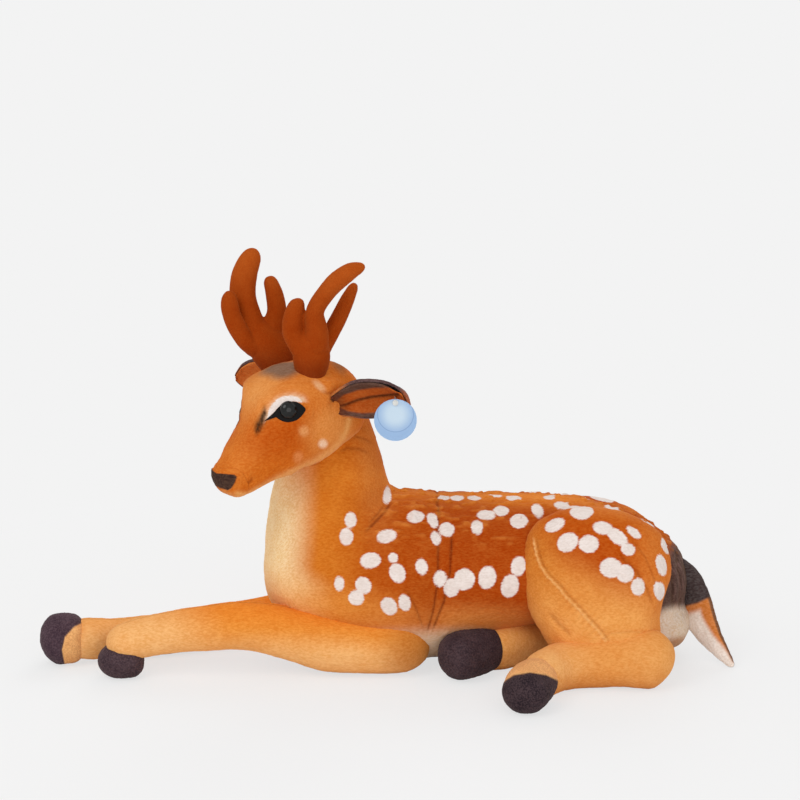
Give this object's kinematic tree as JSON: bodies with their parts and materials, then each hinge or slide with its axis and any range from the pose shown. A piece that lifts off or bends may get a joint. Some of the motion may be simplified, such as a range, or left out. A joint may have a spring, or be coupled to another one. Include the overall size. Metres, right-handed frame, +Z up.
{
  "type": "plush deer",
  "caption": "Stuffed plush stag that lies down with its head up and turned: antlers, curled ears, spotted coat, dark hooves, short tail and a round hang tag on one ear.",
  "frame": {"origin": "on the surface that the toy lies on, under the middle of its plan outline", "axes": "-X is the way the body faces, -Y is its left side, +Z is up"},
  "size_m": [0.754, 0.3254, 0.448],
  "materials": {
    "coat": "short orange-brown plush pile, cream at the chest, with pale spots",
    "coat_pale": "short tan plush pile",
    "filling": "white polyester fibre",
    "hoof": "short dark grey plush pile",
    "felt": "brushed rust-brown felt",
    "lining": "smooth rust-brown cloth",
    "ear_back": "short dark grey-brown plush pile",
    "dark": "short black-brown plush pile",
    "eye": "polished black",
    "washer": "plain moulded",
    "white": "short off-white plush pile",
    "card": "laminated pale blue card, blank",
    "nylon": "clear nylon"
  },
  "bodies": {
    "torso": {"torso_skin": "coat", "torso_filling": "filling", "thigh_left_skin": "coat", "thigh_left_filling": "filling", "thigh_right_skin": "coat", "thigh_right_filling": "filling"},
    "neck": {"neck_skin": "coat", "neck_filling": "filling"},
    "head": {"head_skin": "coat", "head_filling": "filling", "eye_left": "eye", "eye_washer_left": "washer", "eye_patch_left": "dark", "eye_right": "eye", "eye_washer_right": "washer", "eye_patch_right": "dark", "nose_patch": "dark"},
    "antler_left": {"antler_left_skin": "felt", "antler_left_filling": "filling"},
    "antler_right": {"antler_right_skin": "felt", "antler_right_filling": "filling"},
    "ear_left": {"ear_left_outer": "ear_back", "ear_left_lining": "lining", "tag_pin": "nylon"},
    "ear_right": {"ear_right_outer": "ear_back", "ear_right_lining": "lining"},
    "hang_tag": {"hang_tag": "card"},
    "front_leg_left": {"front_leg_left_skin": "coat", "front_leg_left_filling": "filling", "front_hoof_left": "hoof"},
    "front_leg_right": {"front_leg_right_skin": "coat", "front_leg_right_filling": "filling", "front_hoof_right": "hoof"},
    "hind_shank_left": {"hind_shank_left_skin": "coat_pale", "hind_shank_left_filling": "filling", "hind_hoof_left": "hoof"},
    "hind_shank_right": {"hind_shank_right_skin": "coat_pale", "hind_shank_right_filling": "filling", "hind_hoof_right": "hoof"},
    "tail": {"tail_top": "dark", "tail_underside": "white"}
  },
  "joints": [
    {"name": "neck_nod", "type": "hinge", "parent": "torso", "child": "neck", "pos_m": [-0.06089, 0.04254, 0.16095], "axis": [0, 1, 0], "range_deg": [-5, 5], "stiffness_Nm_per_rad": 10},
    {"name": "head_turn", "type": "hinge", "parent": "neck", "child": "head", "pos_m": [-0.05497, 0.03462, 0.29045], "axis": [0, 0, 1], "range_deg": [-12, 12], "stiffness_Nm_per_rad": 1.5},
    {"name": "ear_left_fold", "type": "hinge", "parent": "head", "child": "ear_left", "pos_m": [-0.05234, -0.0181, 0.29655], "axis": [0, 0, 1], "range_deg": [-12, 12], "stiffness_Nm_per_rad": 0.05},
    {"name": "ear_right_fold", "type": "hinge", "parent": "head", "child": "ear_right", "pos_m": [-0.0997, 0.04588, 0.29955], "axis": [0, 0, 1], "range_deg": [-12, 12], "stiffness_Nm_per_rad": 0.05},
    {"name": "antler_left_bend", "type": "hinge", "parent": "head", "child": "antler_left", "pos_m": [-0.07881, -0.00742, 0.31845], "axis": [1, 0, 0], "range_deg": [-5, 5], "stiffness_Nm_per_rad": 0.5},
    {"name": "antler_right_bend", "type": "hinge", "parent": "head", "child": "antler_right", "pos_m": [-0.11625, 0.03213, 0.32045], "axis": [1, 0, 0], "range_deg": [-5, 5], "stiffness_Nm_per_rad": 0.5},
    {"name": "tag_swing", "type": "hinge", "parent": "ear_left", "child": "hang_tag", "pos_m": [0.00996, -0.06747, 0.30713], "axis": [0, 1, 0], "range_deg": [-40, 40]},
    {"name": "front_leg_left_swing", "type": "hinge", "parent": "torso", "child": "front_leg_left", "pos_m": [0.01995, -0.01753, 0.0325], "axis": [0, 0, 1], "range_deg": [0, 12], "stiffness_Nm_per_rad": 1.5},
    {"name": "front_leg_right_swing", "type": "hinge", "parent": "torso", "child": "front_leg_right", "pos_m": [-0.01639, 0.10057, 0.0325], "axis": [0, 0, -1], "range_deg": [0, 12], "stiffness_Nm_per_rad": 1.5},
    {"name": "hind_shank_left_swing", "type": "hinge", "parent": "torso", "child": "hind_shank_left", "pos_m": [0.27995, -0.06348, 0.0295], "axis": [0, 0, 1], "range_deg": [0, 12], "stiffness_Nm_per_rad": 1},
    {"name": "hind_shank_right_swing", "type": "hinge", "parent": "torso", "child": "hind_shank_right", "pos_m": [0.23993, 0.09462, 0.0295], "axis": [0, 0, 1], "range_deg": [0, 8], "stiffness_Nm_per_rad": 1},
    {"name": "tail_lift", "type": "hinge", "parent": "torso", "child": "tail", "pos_m": [0.31545, 0.04254, 0.09435], "axis": [0, -1, 0], "range_deg": [0, 24], "stiffness_Nm_per_rad": 0.3}
  ]
}
